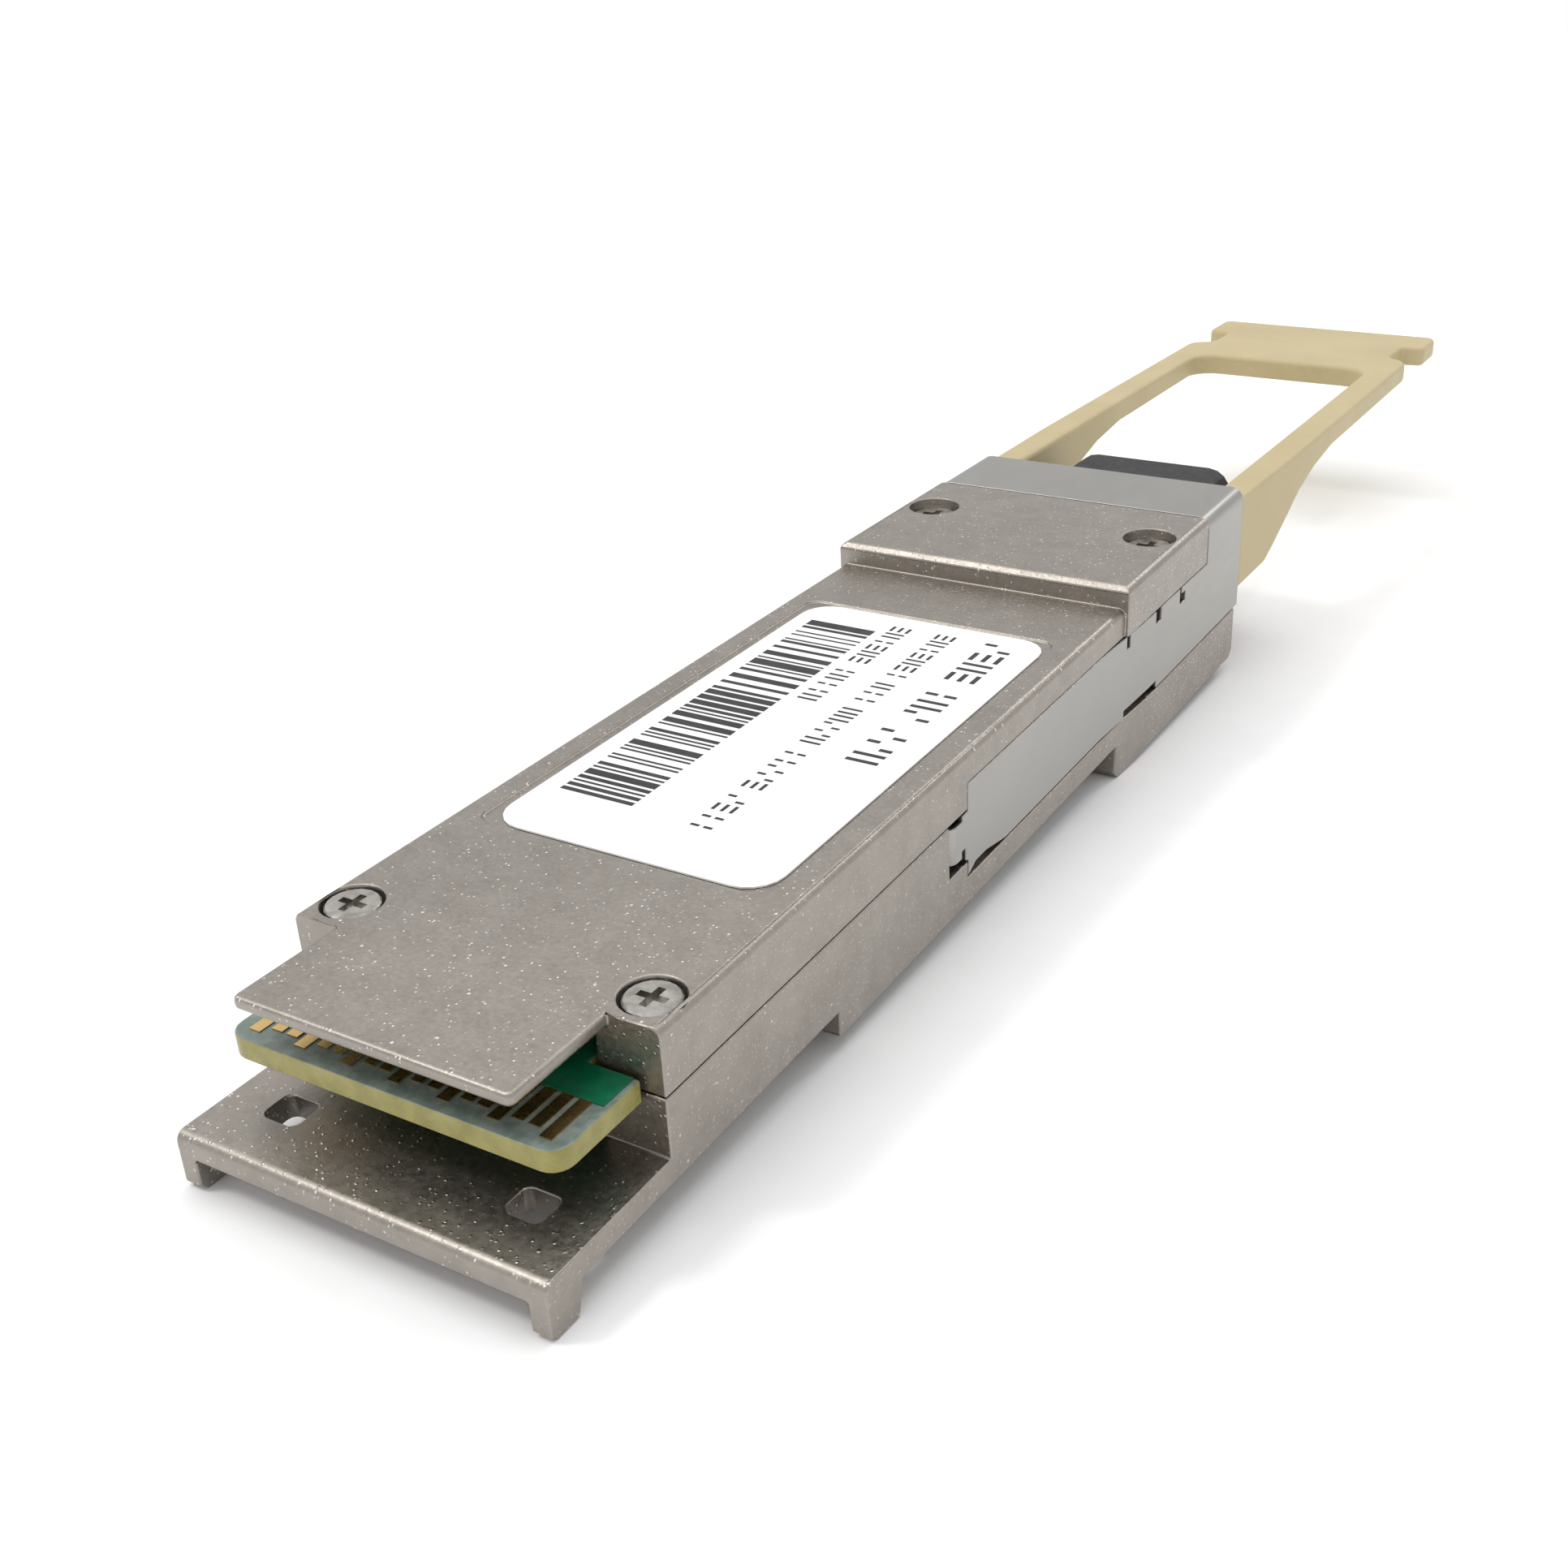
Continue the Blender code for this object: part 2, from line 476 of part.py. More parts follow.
def make_pull_tab():
    """A flat loop with a grip bar: the plan view made solid, kept only inside the side view."""
    def edge(sign):
        points = [(TAB_HALF - 0.2, TAB_Y), (TAB_HALF, TAB_Y + 10)]
        points += arc((TAB_HALF - 1.7, 114.0), 1.7, 0, 80, 4)
        points += [(TAB_NECK_HALF, 116.6), (TAB_NECK_HALF, TAB_BAR_Y - 0.2)]
        points += arc((TAB_BAR_HALF - 0.6, TAB_BAR_Y + 0.6), 0.6, -90, 0, 3)
        points += arc((TAB_BAR_HALF - 0.8, TAB_END_Y - 0.8), 0.8, 0, 90, 4)
        return [(sign * x, y) for x, y in points]

    corner = 2.0
    loop = [(-TAB_LOOP_HALF, TAB_Y)]
    loop += arc((corner - TAB_LOOP_HALF, TAB_LOOP_END_Y - corner), corner, 180, 90, 5)
    loop += arc((TAB_LOOP_HALF - corner, TAB_LOOP_END_Y - corner), corner, 90, 0, 5)
    loop += [(TAB_LOOP_HALF, TAB_Y)]
    plan = edge(1) + list(reversed(edge(-1))) + loop
    tab = extrude_outline("pull_tab", plan, ("Z", 0.0, 12.0), TAB_PLASTIC)
    foot = [(TAB_Y - 1, 2.7), (77.9, 2.75), (79.6, 3.4), (82.5, 4.7), (85.0, 5.75), (88.5, 6.55),
            (93.0, 7.0)]
    beyond = TAB_END_Y + 1
    side_view = foot + [(beyond, tab_top(beyond) - TAB_THICK), (beyond, tab_top(beyond)),
                        (TAB_Y - 1, tab_top(TAB_Y - 1))]
    combine(tab, [extrude_outline("tab_side_view", side_view, ("X", -FAR, FAR))], "INTERSECT")
    cut(tab, *both(lambda side, s: box(
        f"tab_tongue_slot_{side}", span(s, 7.9, 8.35), (TAB_Y - 2, 78.1),
        (TONGUE_Z[0] - 0.05, TONGUE_Z[1] + 0.05))))
    return centre_on(tab, place(0, STRAP_Y, ARM_TOP))


def make_dust_plug():
    outline = rounded((-PLUG_HALF, PLUG_HALF), (0.0, PLUG_TOP - PLUG_BOTTOM), 1.6, 4)
    bm = bmesh.new()
    face = bm.faces.new([bm.verts.new(place(x, PLUG_Y, PLUG_BOTTOM + z)) for x, z in outline])
    made = bmesh.ops.extrude_face_region(bm, geom=[face])
    moved = [v for v in made["geom"] if isinstance(v, bmesh.types.BMVert)]
    bmesh.ops.translate(bm, verts=moved, vec=Vector((0, PLUG_END_Y - PLUG_Y, 0)) * MM)
    plug = link_mesh("dust_plug", bm, PLUG_RUBBER, module)
    soften(plug, 0.5, 2, 60)
    smooth(plug)
    cut(plug, box("plug_ferrule_room", (-4.0, 4.0), (60.0, 69.5), (PORT_Z - 1.9, PORT_Z + 1.9)))
    return centre_on(plug, place(0, RECEPTACLE_Y, PORT_Z))


# --- circuit card and what is soldered on it -------------------------------------------------------
def make_paddle_card():
    corner = 0.9
    half = ([(0.0, CARD_Y)] + arc((CARD_HALF - corner, CARD_Y + corner), corner, -90, 0, 5)
            + [(CARD_HALF, 6.9), (5.85, 6.9), (5.85, BOSS_END_Y + 0.25), (7.6, BOSS_END_Y + 0.25),
               (7.6, 50.0), (4.9, 50.0), (4.9, CARD_END_Y)])
    left = [(-x, y) for x, y in reversed(half[1:])]
    card = extrude_outline("paddle_card", half + left, ("Z", CARD_BOTTOM, CARD_TOP), CARD_GREEN)
    cut(card, *both(lambda side, s: drum(
        f"card_peg_hole_{side}", (s * 6.9, 47.0, 5.6), 0.66, 4.0, sides=12)))
    return card


def make_contacts(name, z_low):
    """A row of plated edge contacts, joined by the plating bar that hides under the shell."""
    half, trace, bar_y = CONTACT_WIDTH / 2, 0.12, 11.3
    outline = [(-5.8, bar_y + 0.4), (-5.8, bar_y)]
    for i in range(CONTACTS):
        x = (i - (CONTACTS - 1) / 2) * CONTACT_PITCH
        neck = x * TRACE_SQUEEZE
        start = CARD_Y + (0.6 if i % 3 == 0 else 1.0)
        outline += [(neck - trace, bar_y), (neck - trace, 6.8), (x - half, 5.0), (x - half, start),
                    (x + half, start), (x + half, 5.0), (neck + trace, 6.8), (neck + trace, bar_y)]
    outline += [(5.8, bar_y), (5.8, bar_y + 0.4)]
    return extrude_outline(name, outline, ("Z", z_low, z_low + COPPER), GOLD)


def make_card_parts():
    below = CARD_BOTTOM - 0.03
    above = CARD_TOP + 0.03
    box("laser_driver_chip", (-3.3, -0.5), (36.8, 39.6), (below - 0.42, below), CHIP_BLACK)
    box("receiver_chip", (0.5, 3.3), (36.8, 39.6), (below - 0.42, below), CHIP_BLACK)
    box("thermal_pad", (-3.6, 3.6), (36.4, 40.2), (PLATE_TOP + 0.03, below - 0.45), GAP_PAD)
    box("laser_array", (-2.3, -0.5), (43.9, 44.4), (below - 0.2, below), DIE_GREY)
    box("photodiode_array", (0.5, 2.3), (43.9, 44.4), (below - 0.2, below), DIE_GREY)
    box("microcontroller", (-2.5, 2.5), (24.0, 29.0), (above, above + 0.85), CHIP_BLACK)
    box("power_controller", (-5.9, -3.9), (30.6, 32.6), (above, above + 0.75), CHIP_BLACK)
    for i in range(2):
        x = 2.4 + i * 2.7
        box(f"power_inductor_{i + 1}", (x, x + 2.0), (31.0, 33.0), (above, above + 1.0), FERRITE)
    for i in range(4):
        x = -5.0 + i * 3.0
        box(f"filter_capacitor_{i + 1}", (x, x + 0.6), (19.0, 20.1), (above, above + 0.55),
            CAPACITOR_TAN)


# --- optics --------------------------------------------------------------------------------------------
def make_lens_block():
    lens = box("lens_block", (-3.4, 3.4), (42.6, 48.2), (3.2, 5.05), LENS_RESIN)
    cut(lens, box("lens_die_room", (-2.7, 2.7), (43.3, 45.2), (4.5, FAR)),
        box("lens_ribbon_seat", (-1.8, 1.8), (45.9, FAR * 2), (3.75, FAR)))
    return lens


def make_ribbon():
    """Fibre ribbon from the lens block's seat to the ferrule, eased from one height to the other."""
    steps, start, end, rise = 8, 46.0, 58.4, PORT_Z - 4.0
    line = []
    for i in range(steps + 1):
        t = i / steps
        line.append((start + (end - start) * t, 4.0 + rise * t * t * (3 - 2 * t)))
    half = 0.15
    outline = [(y, z - half) for y, z in line] + [(y, z + half) for y, z in reversed(line)]
    return extrude_outline("fibre_ribbon", outline, ("X", -1.55, 1.55), FIBRE_AQUA)


def make_ferrule():
    ferrule = box("mt_ferrule", (-3.2, 3.2), (58.6, 66.5), (PORT_Z - 1.25, PORT_Z + 1.25),
                  FERRULE_RESIN)
    join(ferrule, box("ferrule_flange", (-3.7, 3.7), (58.6, 60.6), (PORT_Z - 1.5, PORT_Z + 1.5)))
    cut(ferrule, *both(lambda side, s: drum(
        f"ferrule_bore_{side}", (s * 2.3, 62.0, PORT_Z), 0.4, 20, "Y", sides=12)))
    for side, s in SIDES:
        pin = drum(f"guide_pin_{side}", (s * 2.3, 63.6, PORT_Z), 0.34, 9.6, "Y", PIN_STEEL, 12)
        soften(smooth(pin), 0.1)
    keeper = box("pin_keeper", (-3.3, 3.3), (57.9, 58.5), (PORT_Z - 1.2, PORT_Z + 1.2), STEEL)
    cut(keeper, box("keeper_ribbon_window", (-1.75, 1.75), (50, 70), (PORT_Z - 0.4, PORT_Z + 0.4)))
    return ferrule


def make_receptacle():
    shell = box("fibre_port_receptacle", (-7.15, 7.15), (RECEPTACLE_Y, NOSE_END_Y - 0.1),
                (PORT_BOTTOM - 0.4, PORT_TOP + 0.35), PORT_BLACK)
    cut(shell, box("port_room", (-PORT_HALF, PORT_HALF), (RECEPTACLE_Y + 1.0, FAR * 2),
                   (PORT_BOTTOM, PORT_TOP)),
        box("port_key_way", (-1.3, 1.3), (RECEPTACLE_Y + 1.0, FAR * 2), (PORT_TOP - 0.5, PORT_TOP + 0.15)),
        box("port_ferrule_window", (-3.3, 3.3), (50, 70), (PORT_Z - 1.35, PORT_Z + 1.35)))
    hook = [(RECEPTACLE_Y + 0.9, 2.0), (RECEPTACLE_Y + 0.9, 5.6), (68.3, 5.6), (68.3, 2.0)]
    join(shell, *both(lambda side, s: extrude_outline(
        f"port_latch_{side}", hook, ("X", *span(s, 6.05, 6.5)))))
    return shell


def make_gasket():
    """Conductive gasket between the port moulding and the shells' inner wall."""
    ring = box("emi_gasket", (-5.1, 5.1), (61.2, 62.5), (2.3, 6.8), GASKET_GREY)
    cut(ring, box("gasket_window", (-3.5, 3.5), (50, 70), (PORT_Z - 1.42, PORT_Z + 1.42)))
    return ring


# --- return springs and label --------------------------------------------------------------------------
def make_spring(side, sign):
    steps = SPRING_TURNS * 8
    curve = bpy.data.curves.new(f"return_spring_{side}", "CURVE")
    curve.dimensions = "3D"
    curve.bevel_depth = SPRING_WIRE * MM
    curve.bevel_resolution = 1
    curve.use_fill_caps = True
    spline = curve.splines.new("POLY")
    spline.points.add(steps)
    reach = SPRING_END_Y - SPRING_Y - 2 * SPRING_WIRE
    for i in range(steps + 1):
        a = 2 * math.pi * SPRING_TURNS * i / steps
        y = SPRING_WIRE + reach * i / steps
        point = Vector((SPRING_RADIUS * math.cos(a), y, SPRING_RADIUS * math.sin(a))) * MM
        spline.points[i].co = (*point, 1)
    spring = bpy.data.objects.new(f"return_spring_{side}", curve)
    module.objects.link(spring)
    curve.materials.append(SPRING_STEEL)
    spring.location = place(sign * SPRING_X, SPRING_Y, SPRING_Z)
    return spring


def make_label():
    return extrude_outline("label", rounded((-7.25, 7.45), (16.95, 46.05), 1.7, 5),
                           ("Z", BODY_TOP - 0.1, BODY_TOP - 0.02), LABEL_FILM)


make_housing_base()
make_top_cover()
make_screws()
make_release_slide()
make_pull_tab()
make_dust_plug()
make_paddle_card()
make_contacts("edge_contacts_top", CARD_TOP + FILM_GAP)
make_contacts("edge_contacts_bottom", CARD_BOTTOM - FILM_GAP - COPPER)
make_card_parts()
make_lens_block()
make_ribbon()
make_ferrule()
make_receptacle()
make_gasket()
both(make_spring)
make_label()
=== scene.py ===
"""Looks for the optical transceiver module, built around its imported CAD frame.

Everything is in metres in the CAD's row frame: +X across, +Y towards the pull tab, +Z up.
"""

import json
import math
import random

import bmesh
import bpy
from mathutils import Matrix, Vector


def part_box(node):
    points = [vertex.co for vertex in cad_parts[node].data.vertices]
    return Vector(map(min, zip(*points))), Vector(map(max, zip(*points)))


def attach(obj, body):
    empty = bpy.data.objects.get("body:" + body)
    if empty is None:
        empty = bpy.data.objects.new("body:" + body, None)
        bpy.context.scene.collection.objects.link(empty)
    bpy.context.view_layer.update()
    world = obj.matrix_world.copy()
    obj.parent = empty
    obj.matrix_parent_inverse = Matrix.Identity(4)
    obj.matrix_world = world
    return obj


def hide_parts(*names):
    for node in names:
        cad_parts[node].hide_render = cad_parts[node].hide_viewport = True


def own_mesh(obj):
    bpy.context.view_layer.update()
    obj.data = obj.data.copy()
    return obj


MM = 0.001
FLOOR_HALF = 40.0        # metres: far enough that the floor fills the picture
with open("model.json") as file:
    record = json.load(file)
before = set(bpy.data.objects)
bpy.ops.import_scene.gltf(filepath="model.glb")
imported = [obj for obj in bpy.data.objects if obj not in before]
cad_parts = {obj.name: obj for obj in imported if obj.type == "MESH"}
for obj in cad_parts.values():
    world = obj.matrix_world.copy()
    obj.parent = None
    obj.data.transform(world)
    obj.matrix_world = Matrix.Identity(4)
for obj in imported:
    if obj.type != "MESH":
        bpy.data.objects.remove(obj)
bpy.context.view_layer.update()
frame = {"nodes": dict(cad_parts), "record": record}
nodes = frame["nodes"]
mounts = {mount["name"]: Vector(mount["pos_m"]) for mount in frame["record"]["mounts"]}

# --- places taken from the frame -------------------------------------------------------------------
PAD_Z = mounts["heatsink_pad"].z
LABEL_LOW, LABEL_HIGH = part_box("label")
CARD_LOW, CARD_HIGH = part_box("paddle_card")
COMB_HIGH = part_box("edge_contacts_top")[1]
BASE_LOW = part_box("housing_base")[0]


# --- camera ------------------------------------------------------------------------------------------
def make_camera():
    """A phone camera held close above the host end, to the module's right."""
    azimuth, elevation, roll = (math.radians(angle) for angle in (30.21, 25.33, -1.98))
    place = (0.04253, -0.09708, 0.04768)
    back = Vector((math.sin(azimuth) * math.cos(elevation),
                   -math.cos(azimuth) * math.cos(elevation), math.sin(elevation)))
    level = Vector((math.cos(azimuth), math.sin(azimuth), 0))
    above = back.cross(level)
    right = level * math.cos(roll) + above * math.sin(roll)
    up = above * math.cos(roll) - level * math.sin(roll)
    data = bpy.data.cameras.new("camera")
    data.lens = 40.41
    data.shift_x, data.shift_y = -0.0497, -0.0393
    data.clip_start = 0.001
    camera = bpy.data.objects.new("camera", data)
    bpy.context.scene.collection.objects.link(camera)
    turn = Matrix((right, up, back)).transposed().to_4x4()
    camera.matrix_world = Matrix.Translation(place) @ turn
    bpy.context.scene.camera = camera


# --- light and floor -----------------------------------------------------------------------------------
def add_area(name, place, size, power, colour=(1, 1, 1)):
    light = bpy.data.lights.new(name, "AREA")
    light.shape = "DISK"
    light.size = size
    light.energy = power
    light.color = colour
    obj = bpy.data.objects.new(name, light)
    bpy.context.scene.collection.objects.link(obj)
    obj.location = place
    obj.rotation_euler = (-Vector(place)).to_track_quat("-Z", "Y").to_euler()


def make_lights():
    """An even white room, a wide soft sun for the floor, and two softboxes that the edges catch."""
    bpy.context.scene.view_settings.view_transform = "Standard"
    world = bpy.data.worlds.new("soft_room")
    bpy.context.scene.world = world
    world.use_nodes = True
    sky = world.node_tree.nodes["Background"]
    sky.inputs["Color"].default_value = (0.985, 0.99, 1.0, 1)
    sky.inputs["Strength"].default_value = 0.80
    sun = bpy.data.lights.new("soft_sun", "SUN")
    sun.energy = 1.0
    sun.angle = math.radians(60)
    obj = bpy.data.objects.new("soft_sun", sun)
    bpy.context.scene.collection.objects.link(obj)
    aim = Vector((0.10, -0.12, -1.0))
    obj.rotation_euler = aim.to_track_quat("-Z", "Y").to_euler()
    add_area("softbox_front", (-0.24, -0.22, 0.42), 0.10, 0.6, (1.0, 0.985, 0.96))
    add_area("softbox_behind", (0.12, 0.46, 0.34), 0.05, 0.3)


def make_floor():
    """A pale sheet that touches the end tabs and the nose's lower edge, so it leans by 2.2 degrees."""
    points = [v.co for v in nodes["housing_base"].data.vertices]
    foot_y, nose_y = (min(p.y for p in points if abs(p.z - z) < 1e-6) for z in (PAD_Z, BASE_LOW.z))
    slope = math.atan2(PAD_Z - BASE_LOW.z, foot_y - nose_y)
    bm = bmesh.new()
    bmesh.ops.create_grid(bm, x_segments=1, y_segments=1, size=FLOOR_HALF)
    mesh = bpy.data.meshes.new("floor")
    bm.to_mesh(mesh)
    bm.free()
    floor = bpy.data.objects.new("floor", mesh)
    bpy.context.scene.collection.objects.link(floor)
    floor.location = (0, nose_y, BASE_LOW.z)
    floor.rotation_euler = (slope, 0, 0)
    mesh.materials.append(surface("pale_sheet", (0.91, 0.91, 0.91), (0.93, 0.93, 0.93), (0.7, 0.8),
                                  grain=60, bump=0.02))


# --- materials -----------------------------------------------------------------------------------------
class Tree:
    """Short calls for the shader nodes that the materials are made of."""

    def __init__(self, name):
        self.material = bpy.data.materials.new(name)
        self.material.use_nodes = True
        self.nodes = self.material.node_tree.nodes
        self.links = self.material.node_tree.links
        self.shader = self.nodes["Principled BSDF"]
        self.coords = self.nodes.new("ShaderNodeTexCoord").outputs["Object"]

    def put(self, value, socket):
        if isinstance(value, bpy.types.NodeSocket):
            self.links.new(value, socket)
        elif socket.type == "RGBA":
            socket.default_value = (*value, 1)
        else:
            socket.default_value = value

    def set(self, **inputs):
        for name, value in inputs.items():
            self.put(value, self.shader.inputs[name.replace("_", " ").title().replace("Ior", "IOR")])

    def stretched(self, scale):
        node = self.nodes.new("ShaderNodeMapping")
        self.links.new(self.coords, node.inputs["Vector"])
        node.inputs["Scale"].default_value = scale
        return node.outputs["Vector"]

    def noise(self, scale, detail=3.0, rough=0.55, coords=None):
        node = self.nodes.new("ShaderNodeTexNoise")
        self.links.new(coords or self.coords, node.inputs["Vector"])
        node.inputs["Scale"].default_value = scale
        node.inputs["Detail"].default_value = detail
        node.inputs["Roughness"].default_value = rough
        return node.outputs["Fac"]

    def cells(self, scale, output="Distance"):
        node = self.nodes.new("ShaderNodeTexVoronoi")
        self.links.new(self.coords, node.inputs["Vector"])
        node.inputs["Scale"].default_value = scale
        return node.outputs[output]

    def span(self, value, low, high, out_low=0.0, out_high=1.0):
        """Maps low..high to out_low..out_high and holds the ends."""
        node = self.nodes.new("ShaderNodeMapRange")
        self.links.new(value, node.inputs["Value"])
        for name, number in (("From Min", low), ("From Max", high),
                             ("To Min", out_low), ("To Max", out_high)):
            node.inputs[name].default_value = number
        return node.outputs["Result"]

    def math(self, operation, a, b):
        node = self.nodes.new("ShaderNodeMath")
        node.operation = operation
        self.put(a, node.inputs[0])
        self.put(b, node.inputs[1])
        return node.outputs["Value"]

    def mix(self, share, a, b):
        node = self.nodes.new("ShaderNodeMix")
        node.data_type = "RGBA"
        self.put(share, node.inputs["Factor"])
        self.put(a, node.inputs[6])
        self.put(b, node.inputs[7])
        return node.outputs[2]

    def separate(self, value, index):
        node = self.nodes.new("ShaderNodeSeparateXYZ")
        self.links.new(value, node.inputs[0])
        return node.outputs[index]

    def normal_z(self):
        return self.separate(self.nodes.new("ShaderNodeNewGeometry").outputs["Normal"], 2)

    def bump(self, height, strength, depth, under=None):
        """Raises the surface by height, where 1 is depth millimetres."""
        node = self.nodes.new("ShaderNodeBump")
        self.links.new(height, node.inputs["Height"])
        node.inputs["Strength"].default_value = strength
        node.inputs["Distance"].default_value = depth * MM
        if under is not None:
            self.links.new(under, node.inputs["Normal"])
        return node.outputs["Normal"]


def surface(name, dark, light, rough, metallic=0.0, grain=2500, blotch=300, bump=0.3, depth=0.02,
            stretch=None, **extra):
    """A plain finish: cloudy colour between two tones, uneven gloss and a fine grain."""
    tree = Tree(name)
    coords = tree.stretched(stretch) if stretch else None
    fine = tree.noise(grain, 4, 0.6, coords)
    cloud = tree.noise(blotch, 3, 0.55, coords)
    share = tree.math("ADD", tree.math("MULTIPLY", fine, 0.35), tree.math("MULTIPLY", cloud, 0.65))
    tree.set(base_color=tree.mix(tree.span(share, 0.36, 0.64), dark, light),
             roughness=tree.span(fine, 0.3, 0.7, *rough), metallic=metallic,
             normal=tree.bump(fine, bump, depth), **extra)
    return tree.material


def blasted_nickel():
    """Nickel over a bead-blasted casting: cloudy satin, fine pits and a frost of nodules, whose colour is
    lifted to near-white as painted glints.
    """
    tree = Tree("blasted_nickel")
    fine = tree.noise(4200, 5, 0.62)
    cloud = tree.noise(700, 4, 0.6)
    broad = tree.noise(60, 2, 0.5)
    wide = tree.math("ADD", tree.math("MULTIPLY", cloud, 0.4), tree.math("MULTIPLY", broad, 0.25))
    share = tree.math("ADD", tree.math("MULTIPLY", fine, 0.35), wide)
    colour = tree.mix(tree.span(share, 0.36, 0.66), (0.295, 0.267, 0.236), (0.395, 0.362, 0.326))
    nodules_and_glints = 0.0
    for scale, reach, low, high in ((2300, 0.26, 0.84, 0.98), (5200, 0.40, 0.70, 0.96)):
        picked = tree.span(tree.separate(tree.cells(scale, "Color"), 0), low, high)
        dome = tree.span(tree.cells(scale), 0.0, reach, 1.0, 0.0)
        nodules_and_glints = tree.math("MAXIMUM", nodules_and_glints, tree.math("MULTIPLY", picked, dome))
    # painted highlight: the nodules' colour is lifted towards near-white so they show as glints; their bump
    # and gloss are real
    colour = tree.mix(tree.span(nodules_and_glints, 0.1, 0.6), colour, (0.72, 0.69, 0.65))
    rough = tree.math("SUBTRACT", tree.span(fine, 0.3, 0.7, 0.34, 0.48),
                      tree.math("MULTIPLY", nodules_and_glints, 0.2))
    grain = tree.bump(fine, 0.5, 0.025)
    tree.set(base_color=colour, roughness=rough, metallic=1.0,
             normal=tree.bump(nodules_and_glints, 0.6, 0.06, grain))
    return tree.material


def card_laminate():
    """Bare glass-epoxy: milky grey-green on its faces and resin-yellow on its cut edges."""
    tree = Tree("card_laminate")
    weave = tree.noise(1800, 3, 0.5)
    face = tree.mix(tree.span(weave, 0.35, 0.65), (0.15, 0.19, 0.17), (0.23, 0.27, 0.24))
    resin = tree.noise(900, 4)
    edge = tree.mix(tree.span(resin, 0.35, 0.65), (0.25, 0.22, 0.055), (0.34, 0.305, 0.095))
    flat = tree.span(tree.math("ABSOLUTE", tree.normal_z(), 0.0), 0.5, 0.8)
    tree.set(base_color=tree.mix(flat, edge, face), roughness=tree.span(weave, 0.3, 0.7, 0.2, 0.32),
             normal=tree.bump(weave, 0.15, 0.02))
    return tree.material


def make_materials():
    """One finish for each material slot of the record."""
    finishes = {
        "blasted_nickel": blasted_nickel(),
        "card_green": card_laminate(),
        "slide_steel": surface("slide_steel", (0.36, 0.352, 0.33), (0.40, 0.392, 0.37), (0.32, 0.42), 1.0,
                               grain=1400, blotch=160, bump=0.2, depth=0.008, stretch=(1, 0.3, 1)),
        "screw_steel": surface("screw_steel", (0.34, 0.32, 0.29), (0.56, 0.54, 0.50), (0.24, 0.40), 1.0,
                               grain=1800, blotch=1300, bump=0.5, depth=0.04),
        "spring_steel": surface("spring_steel", (0.38, 0.37, 0.36), (0.52, 0.51, 0.50), (0.2, 0.35), 1.0),
        "pin_steel": surface("pin_steel", (0.60, 0.60, 0.61), (0.70, 0.70, 0.71), (0.1, 0.2), 1.0, bump=0.05),
        "beige_tab": surface("beige_tab", (0.455, 0.368, 0.196), (0.515, 0.424, 0.234), (0.42, 0.58),
                             grain=1600, blotch=120, bump=0.12, depth=0.02),
        "black_plug": surface("black_plug", (0.006, 0.006, 0.007), (0.016, 0.016, 0.018), (0.5, 0.68),
                              grain=2200, blotch=300, bump=0.12),
        "white_label": surface("white_label", (0.84, 0.84, 0.83), (0.90, 0.90, 0.895), (0.38, 0.5),
                               grain=2600, blotch=150, bump=0.05, depth=0.01),
        "contact_gold": surface("contact_gold", (0.70, 0.47, 0.18), (0.80, 0.56, 0.23), (0.24, 0.30), 1.0,
                                grain=900, blotch=300, bump=0.03, depth=0.002),
        "chip_black": surface("chip_black", (0.02, 0.02, 0.022), (0.045, 0.045, 0.05), (0.4, 0.6)),
        "die_grey": surface("die_grey", (0.12, 0.13, 0.17), (0.2, 0.21, 0.25), (0.12, 0.22), 0.3, bump=0.03),
        "capacitor_tan": surface("capacitor_tan", (0.35, 0.26, 0.17), (0.47, 0.37, 0.26), (0.4, 0.55)),
        "inductor_ferrite": surface("inductor_ferrite", (0.08, 0.08, 0.08), (0.14, 0.14, 0.14), (0.55, 0.7)),
        "lens_resin": surface("lens_resin", (0.55, 0.38, 0.16), (0.68, 0.49, 0.24), (0.08, 0.15), bump=0.02,
                              transmission_weight=0.6),
        "ferrule_resin": surface("ferrule_resin", (0.045, 0.045, 0.05), (0.08, 0.08, 0.085), (0.35, 0.5)),
        "fibre_aqua": surface("fibre_aqua", (0.08, 0.46, 0.48), (0.14, 0.60, 0.62), (0.3, 0.42),
                              grain=3000, stretch=(1, 0.05, 1)),
        "port_moulding": surface("port_moulding", (0.03, 0.03, 0.033), (0.06, 0.06, 0.066), (0.4, 0.55)),
        "gap_pad": surface("gap_pad", (0.38, 0.48, 0.55), (0.48, 0.58, 0.65), (0.7, 0.85)),
        "gasket_grey": surface("gasket_grey", (0.18, 0.18, 0.18), (0.28, 0.28, 0.28), (0.65, 0.8)),
    }
    finishes["label_ink"] = surface("label_ink", (0.012, 0.012, 0.013), (0.03, 0.03, 0.032), (0.5, 0.65),
                                    grain=5200, blotch=900, bump=0.05, depth=0.004)
    finishes["solder_mask"] = surface("solder_mask", (0.004, 0.105, 0.045), (0.008, 0.17, 0.075),
                                      (0.12, 0.22), grain=1500, blotch=500, bump=0.12, depth=0.015)
    for part in frame["record"]["subparts"]:
        node = nodes[part["node"]]
        node.data.materials.clear()
        node.data.materials.append(finishes[part["material_slot"]])
    return finishes


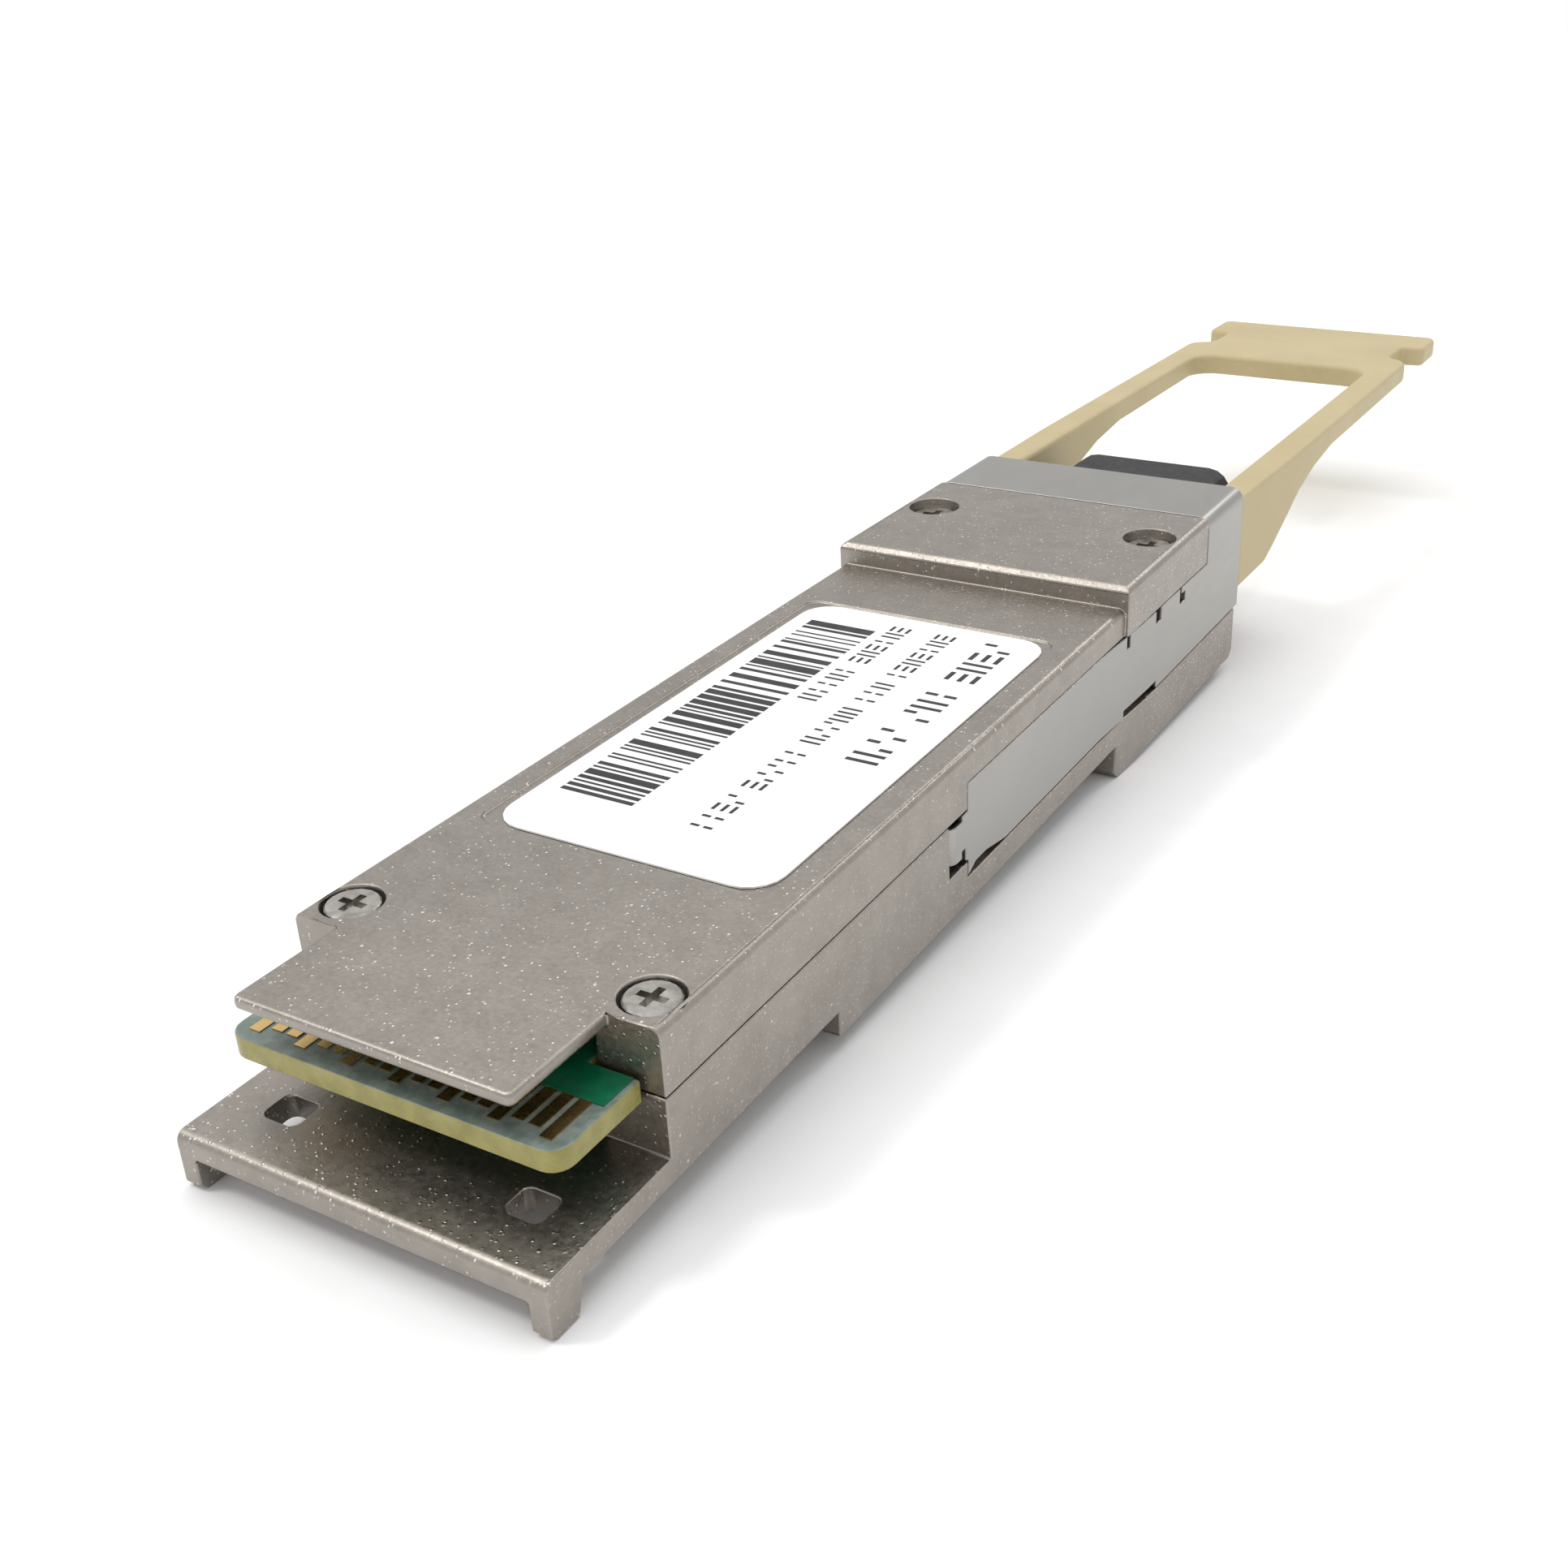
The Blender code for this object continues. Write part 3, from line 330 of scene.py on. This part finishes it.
# --- edges of the carried-over CAD nodes ----------------------------------------------------------------
def round_edges(name, width, segments=3, angle=35):
    """Cast, pressed or moulded edges aren't sharp: a small bevel lets them catch the light."""
    node = nodes[name]
    node.data.shade_smooth()
    weld = node.modifiers.new("weld", "WELD")
    weld.merge_threshold = 1e-6
    flat = node.modifiers.new("flat_faces", "DECIMATE")
    flat.decimate_type = "DISSOLVE"
    flat.angle_limit = math.radians(0.5)
    bevel = node.modifiers.new("soft_edges", "BEVEL")
    bevel.width = width * MM
    bevel.segments = segments
    bevel.limit_method = "ANGLE"
    bevel.angle_limit = math.radians(angle)
    bevel.use_clamp_overlap = False
    bevel.miter_outer = "MITER_ARC"
    shading = node.modifiers.new("shading", "WEIGHTED_NORMAL")
    shading.keep_sharp = True


# --- pieces that the looks add ---------------------------------------------------------------------------
def add_piece(name, bm, finish, body="shell"):
    mesh = bpy.data.meshes.new(name)
    bm.to_mesh(mesh)
    bm.free()
    mesh.materials.append(FINISHES[finish])
    piece = bpy.data.objects.new(name, mesh)
    bpy.context.scene.collection.objects.link(piece)
    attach(piece, body)
    return piece


def add_slab(bm, outline, low, high):
    """A flat outline, (x, y) in metres, made solid between two heights."""
    face = bm.faces.new([bm.verts.new((x, y, low)) for x, y in outline])
    face.normal_update()
    if face.normal.z > 0:
        face.normal_flip()
    made = bmesh.ops.extrude_face_region(bm, geom=[face])
    top = [v for v in made["geom"] if isinstance(v, bmesh.types.BMVert)]
    bmesh.ops.translate(bm, verts=top, vec=(0, 0, high - low))


def rectangle(x0, x1, y0, y1):
    return [(x0, y0), (x1, y0), (x1, y1), (x0, y1)]


def print_bars(bm, place, depth):
    """A column of plain bars of mixed widths. They spell nothing."""
    widths = (0.16, 0.16, 0.30, 0.30, 0.52, 0.70)
    gaps = (0.18, 0.18, 0.32, 0.50)
    left, right, start, end = place
    rng = random.Random(7)
    y = start
    while y < end - 0.9 * MM:
        width = rng.choice(widths) * MM
        add_slab(bm, rectangle(left, right, y, y + width), *depth)
        y += width + rng.choice(gaps) * MM


def print_marks(bm, x, y, height, words, depth):
    """A line of marks that runs from y towards the host end: short bars and stacks, no letters."""
    rng = random.Random(int(height / MM * 100))
    stroke, advance = height * 0.16, height * 0.58
    for count in words:
        for _ in range(count):
            low, high = y - advance, y
            kind = rng.randrange(4)
            if kind == 0:      # two bars across the line
                shapes = [(x, x + height, low, low + stroke), (x, x + height, high - stroke, high)]
            elif kind == 1:    # a stack of three bars along it
                steps = [x + share * (height - stroke) for share in (0, 0.5, 1)]
                shapes = [(step, step + stroke, low, high) for step in steps]
            elif kind == 2:    # a broken bar
                shapes = [(x, x + 0.4 * height, low + stroke, low + 2 * stroke),
                          (x + 0.6 * height, x + height, low + stroke, low + 2 * stroke)]
            else:              # two short bars, out of line
                shapes = [(x, x + 0.4 * height, high - stroke, high),
                          (x + 0.6 * height, x + height, low, low + stroke)]
            for shape in shapes:
                add_slab(bm, rectangle(*shape), *depth)
            y -= advance + height * 0.22
        y -= height * 0.55


def make_label_print():
    """Black thermal print on the label: a column of bars and three lines of marks."""
    top = LABEL_HIGH.z
    depth = (top - 0.002 * MM, top + 0.008 * MM)
    near, far = LABEL_LOW.y + 3.9 * MM, LABEL_HIGH.y - 1.3 * MM
    bm = bmesh.new()
    print_bars(bm, (LABEL_LOW.x + 1.05 * MM, LABEL_LOW.x + 5.15 * MM, near, far), depth)
    for inset, height, words in ((11.45, 1.75, (4, 3, 3)), (8.5, 1.15, (7, 3, 5, 5, 4)),
                                 (5.75, 1.15, (6, 5))):
        print_marks(bm, LABEL_LOW.x + inset * MM, far, height * MM, words, depth)
    add_piece("label_print", bm, "label_ink")


def make_solder_mask():
    """Green lacquer over the traces, on both faces, short of the bare fingers."""
    bare, rim, thick = 3.0 * MM, 0.25 * MM, 0.02 * MM
    shoulder = BASE_LOW.y + 7.35 * MM      # here it narrows to pass between the corner blocks
    start, back = CARD_LOW.y + bare, shoulder + 4 * MM
    wide, narrow = CARD_HIGH.x - rim, 5.75 * MM
    outline = [(-wide, start), (wide, start), (wide, shoulder), (narrow, shoulder), (narrow, back),
               (-narrow, back), (-narrow, shoulder), (-wide, shoulder)]
    under_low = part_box("edge_contacts_bottom")[0]
    for name, low, high in (("solder_mask_top", CARD_HIGH.z, COMB_HIGH.z + thick),
                            ("solder_mask_bottom", under_low.z - thick, CARD_LOW.z)):
        bm = bmesh.new()
        add_slab(bm, outline, low, high)
        mask = add_piece(name, bm, "solder_mask")
        mask.modifiers.new("soft_edges", "BEVEL").width = 0.008 * MM


def make_spring(node):
    """A coil between the slide's seat and the shell's stop, built at rest; it is a fixed mesh and doesn't
    close up as the slide is pulled.
    """
    low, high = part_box(node)
    middle = (low + high) / 2
    wire = 0.11 * MM         # half the wire's thickness
    radius = (high.x - low.x) / 2 - wire
    turns, steps, sides = 7, 24, 8
    bm = bmesh.new()
    rings = []
    for i in range(turns * steps + 1):
        a = 2 * math.pi * i / steps
        outward = Vector((math.cos(a), 0, math.sin(a)))
        along = low.y + wire + (high.y - low.y - 2 * wire) * i / (turns * steps)
        centre = Vector((middle.x, along, middle.z)) + outward * radius
        ring = [centre + wire * (outward * math.cos(b) + Vector((0, math.sin(b), 0)))
                for b in (2 * math.pi * k / sides for k in range(sides))]
        rings.append([bm.verts.new(point) for point in ring])
    for one, two in zip(rings, rings[1:]):
        for k in range(sides):
            bm.faces.new((one[k], one[k - 1], two[k - 1], two[k]))
    bm.faces.new(rings[0])
    bm.faces.new(reversed(rings[-1]))
    bmesh.ops.recalc_face_normals(bm, faces=bm.faces)
    coil = add_piece(f"coil_{node}", bm, "spring_steel")
    coil.data.shade_smooth()
    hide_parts(node)
    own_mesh(coil)


make_camera()
make_lights()
FINISHES = make_materials()
make_floor()
round_edges("top_cover", 0.09)
round_edges("housing_base", 0.09)
round_edges("release_slide", 0.05, 2)
round_edges("pull_tab", 0.4, 4)
round_edges("paddle_card", 0.06, 2)
make_label_print()
make_solder_mask()
make_spring("return_spring_left")
make_spring("return_spring_right")
